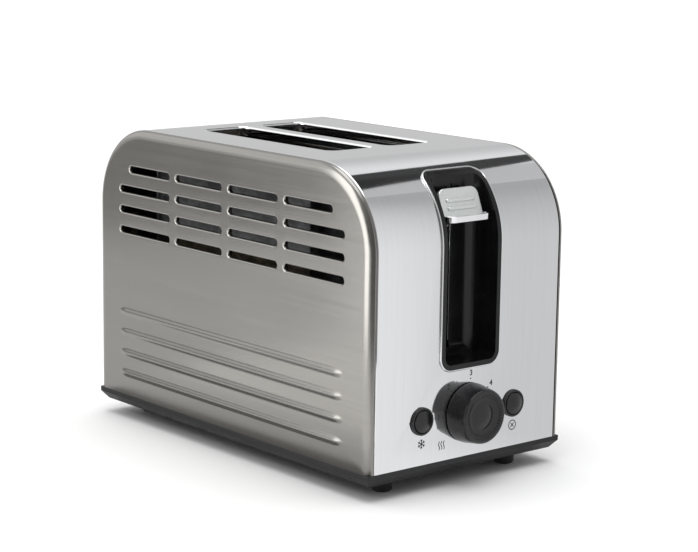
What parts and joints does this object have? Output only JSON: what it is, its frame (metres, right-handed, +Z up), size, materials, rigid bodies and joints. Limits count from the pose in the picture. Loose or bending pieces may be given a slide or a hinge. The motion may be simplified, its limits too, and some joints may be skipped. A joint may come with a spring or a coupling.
{
  "type": "pop-up toaster",
  "caption": "Pop-up toaster with a polished wrap over its ends and top, brushed vented side panels, push-down lever, browning knob, push buttons and rear crumb tray.",
  "frame": {"origin": "middle of the object's plan, on the plane the feet stand on", "axes": "+Z up; -Y towards the lever and knob, +Y towards the cord gland and crumb tray pull; +X to the right as seen from the front"},
  "size_m": [0.157, 0.307, 0.194],
  "materials": {
    "wrap_polished": "polished stainless sheet",
    "panel_brushed": "brushed stainless sheet",
    "casing_black": "black moulded plastic, fine texture",
    "bezel_black": "black moulded plastic, half gloss",
    "foot_rubber": "matt black rubber",
    "screw_steel": "plated screw",
    "galvanised": "galvanised sheet",
    "mica": "mica board",
    "ribbon": "oxidised heating ribbon",
    "wire": "nickel-plated wire",
    "rod": "ground steel rod",
    "spring": "spring steel",
    "lever_silver": "silver finish",
    "lever_chrome": "bright chrome",
    "core_steel": "plain steel",
    "coil_tape": "enamelled copper winding",
    "board_green": "circuit board",
    "component_black": "moulded components",
    "knob_black": "black knob, half gloss",
    "ceramic": "glazed block",
    "contact_metal": "contact leaf",
    "tray_steel": "plain steel tray"
  },
  "bodies": {
    "housing": {"outer_wrap": "wrap_polished", "rear_panel": "wrap_polished", "left_side_panel": "panel_brushed", "right_side_panel": "panel_brushed", "left_end_frame": "casing_black", "right_end_frame": "casing_black", "base_tray": "casing_black", "feet": "foot_rubber", "base_screws": "screw_steel", "lever_bezel": "bezel_black", "chassis_front": "galvanised", "chassis_rear": "galvanised", "left_heat_shield": "galvanised", "right_heat_shield": "galvanised", "left_heater_card": "mica", "centre_heater_card": "mica", "right_heater_card": "mica", "left_heater_wire": "ribbon", "centre_heater_wire": "ribbon", "right_heater_wire": "ribbon", "guide_rod": "rod", "magnet_coil": "coil_tape", "magnet_core": "core_steel", "control_board": "board_green", "board_parts": "component_black", "board_screws": "screw_steel", "potentiometer": "component_black", "tact_switches": "component_black", "button_rings": "knob_black", "contact_block": "ceramic", "contact_leaves": "contact_metal", "cord_gland": "casing_black"},
    "carriage": {"lift_spring": "spring", "carriage_bracket": "galvanised", "lever_paddle": "lever_silver", "lever_strip": "lever_chrome", "armature_plate": "core_steel", "left_bread_rack": "wire", "right_bread_rack": "wire"},
    "dial": {"dial_shaft": "rod", "browning_knob": "knob_black"},
    "defrost_key": {"defrost_button": "knob_black"},
    "cancel_key": {"cancel_button": "knob_black"},
    "tray": {"crumb_tray": "tray_steel"},
    "guard_left_outer": {"left_outer_guard": "wire"},
    "guard_left_inner": {"left_inner_guard": "wire"},
    "guard_right_inner": {"right_inner_guard": "wire"},
    "guard_right_outer": {"right_outer_guard": "wire"}
  },
  "joints": [
    {"name": "lever_slide", "type": "slide", "parent": "housing", "child": "carriage", "axis": [0, 0, -1], "range_m": [0, 0.078], "stiffness_N_per_m": 90, "springref_m": -0.05, "deforming": ["lift_spring"]},
    {"name": "browning_dial", "type": "hinge", "parent": "housing", "child": "dial", "pos_m": [0, -0.1385, 0.0435], "axis": [0, 1, 0], "range_deg": [-141, 140]},
    {"name": "defrost_press", "type": "slide", "parent": "housing", "child": "defrost_key", "axis": [0, 1, 0], "range_m": [0, 0.002], "stiffness_N_per_m": 400, "springref_m": -0.0015},
    {"name": "cancel_press", "type": "slide", "parent": "housing", "child": "cancel_key", "axis": [0, 1, 0], "range_m": [0, 0.002], "stiffness_N_per_m": 400, "springref_m": -0.0015},
    {"name": "crumb_tray_slide", "type": "slide", "parent": "housing", "child": "tray", "axis": [0, 1, 0], "range_m": [0, 0.15]},
    {"name": "left_outer_guard_tilt", "type": "hinge", "parent": "housing", "child": "guard_left_outer", "pos_m": [-0.04, 0, 0.048], "axis": [0, 1, 0], "range_deg": [0, 5.2]},
    {"name": "left_inner_guard_tilt", "type": "hinge", "parent": "housing", "child": "guard_left_inner", "pos_m": [-0.006, 0, 0.048], "axis": [0, -1, 0], "range_deg": [0, 5.2]},
    {"name": "right_inner_guard_tilt", "type": "hinge", "parent": "housing", "child": "guard_right_inner", "pos_m": [0.006, 0, 0.048], "axis": [0, 1, 0], "range_deg": [0, 5.2]},
    {"name": "right_outer_guard_tilt", "type": "hinge", "parent": "housing", "child": "guard_right_outer", "pos_m": [0.04, 0, 0.048], "axis": [0, -1, 0], "range_deg": [0, 5.2]}
  ],
  "couplings": [
    {"joint": "left_outer_guard_tilt", "follows": "lever_slide", "rad_per_m": 1.12},
    {"joint": "left_inner_guard_tilt", "follows": "lever_slide", "rad_per_m": 1.12},
    {"joint": "right_inner_guard_tilt", "follows": "lever_slide", "rad_per_m": 1.12},
    {"joint": "right_outer_guard_tilt", "follows": "lever_slide", "rad_per_m": 1.12}
  ]
}
